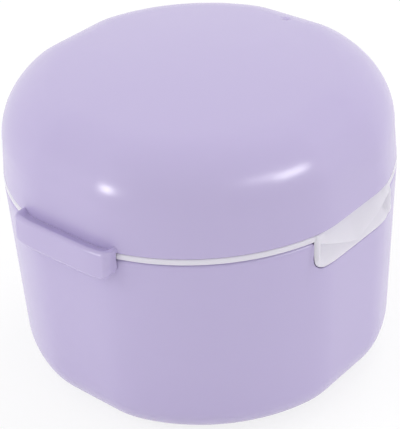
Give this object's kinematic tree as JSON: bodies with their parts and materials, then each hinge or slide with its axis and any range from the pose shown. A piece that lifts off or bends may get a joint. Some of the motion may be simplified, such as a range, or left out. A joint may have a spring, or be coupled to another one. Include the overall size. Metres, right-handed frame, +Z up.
{
  "type": "denture case",
  "caption": "Lavender denture case with a round-cornered tub, a white strainer basket with finger grips, and a hinged lid with a thumb tab.",
  "frame": {"origin": "middle of the foot ring's underside, on the surface that the case stands on", "axes": "+Z up, +Y towards the hinge, so the thumb tab is at -Y and the finger grips are at +X and -X"},
  "size_m": [0.0878, 0.0938, 0.0734],
  "materials": {
    "lavender_tub": "glossy moulded plastic",
    "white_basket": "satin moulded plastic",
    "lavender_lid": "glossy moulded plastic",
    "pin_steel": "drawn wire"
  },
  "bodies": {
    "tub": {"tub": "lavender_tub"},
    "basket": {"strainer_basket": "white_basket"},
    "lid": {"lid": "lavender_lid", "hinge_pin": "pin_steel"}
  },
  "joints": [
    {"name": "basket_lift", "type": "slide", "parent": "tub", "child": "basket", "axis": [0, 0, 1], "range_m": [0, 0.06]},
    {"name": "lid_hinge", "type": "hinge", "parent": "basket", "child": "lid", "pos_m": [0, 0.0449, 0.0496], "axis": [-1, 0, 0], "range_deg": [0, 110]}
  ]
}
